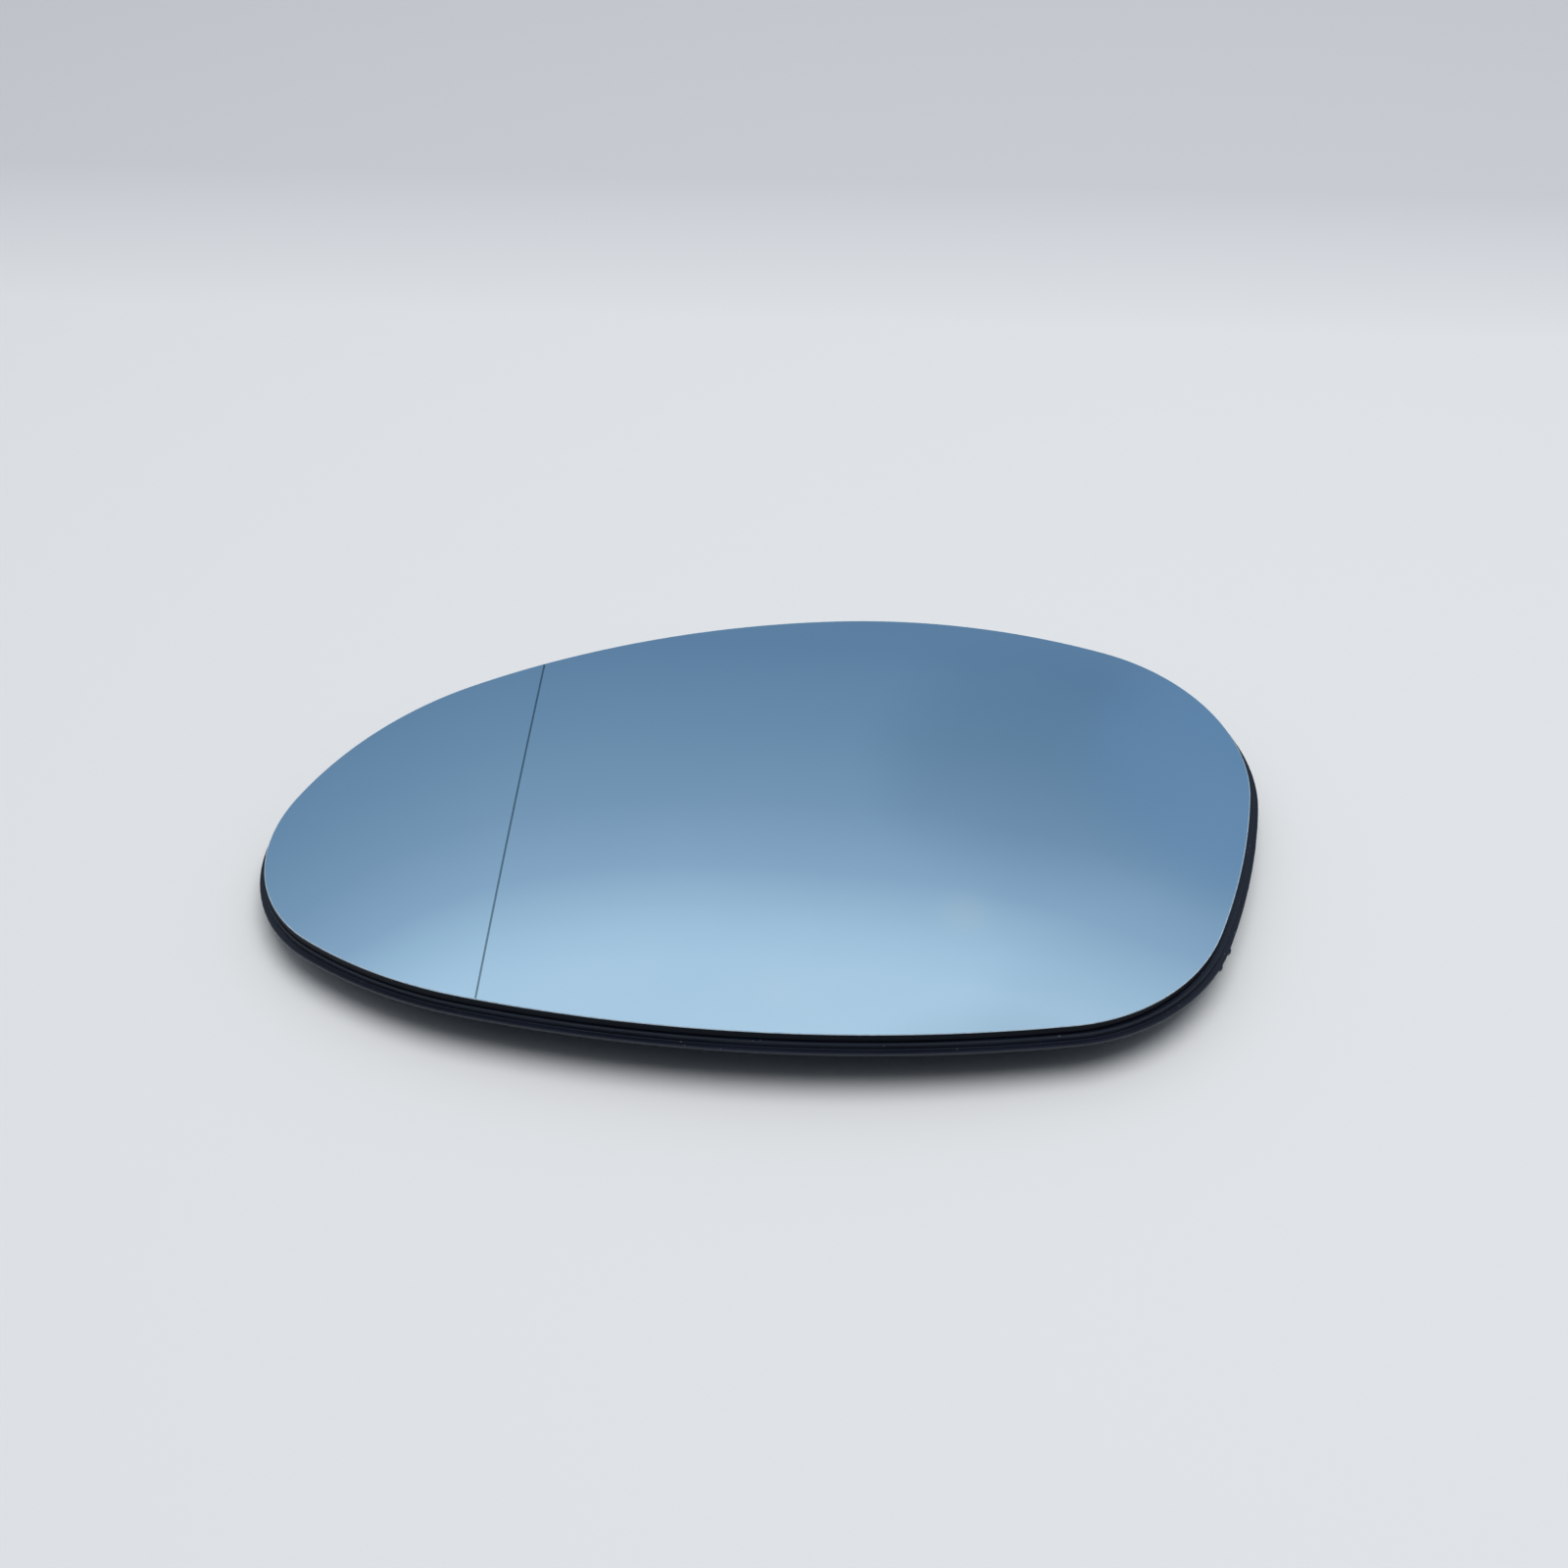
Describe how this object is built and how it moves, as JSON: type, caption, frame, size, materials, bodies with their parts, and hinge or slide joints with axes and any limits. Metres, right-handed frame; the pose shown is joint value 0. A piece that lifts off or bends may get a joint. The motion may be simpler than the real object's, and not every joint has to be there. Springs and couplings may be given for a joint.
{
  "type": "door mirror glass",
  "caption": "Convex blue-coated door mirror glass with a wide-angle outer zone, on a black moulded carrier plate that snaps onto the mirror's adjuster ring.",
  "frame": {"origin": "on the axis of the pivot bore, at the level of the collar's end that the part rests on", "axes": "+Z out of the mirror face, +X along the pane towards the car (the wide-angle zone is at -X), +Y up when fitted"},
  "size_m": [0.194, 0.1168, 0.015],
  "materials": {
    "mirror": "blue-coated mirror glass",
    "foil": "heating foil",
    "foam": "foam tape",
    "black_plastic": "fine-grained moulded",
    "brass": "stamped",
    "tinned_steel": "tinned",
    "spring_steel": "drawn wire"
  },
  "bodies": {
    "root": {"mirror_glass": "mirror", "heater_pad": "foil", "adhesive_pad": "foam", "carrier_plate": "black_plastic", "left_terminal": "brass", "right_terminal": "brass", "left_rivet": "tinned_steel", "right_rivet": "tinned_steel", "retaining_spring": "spring_steel"}
  },
  "joints": []
}
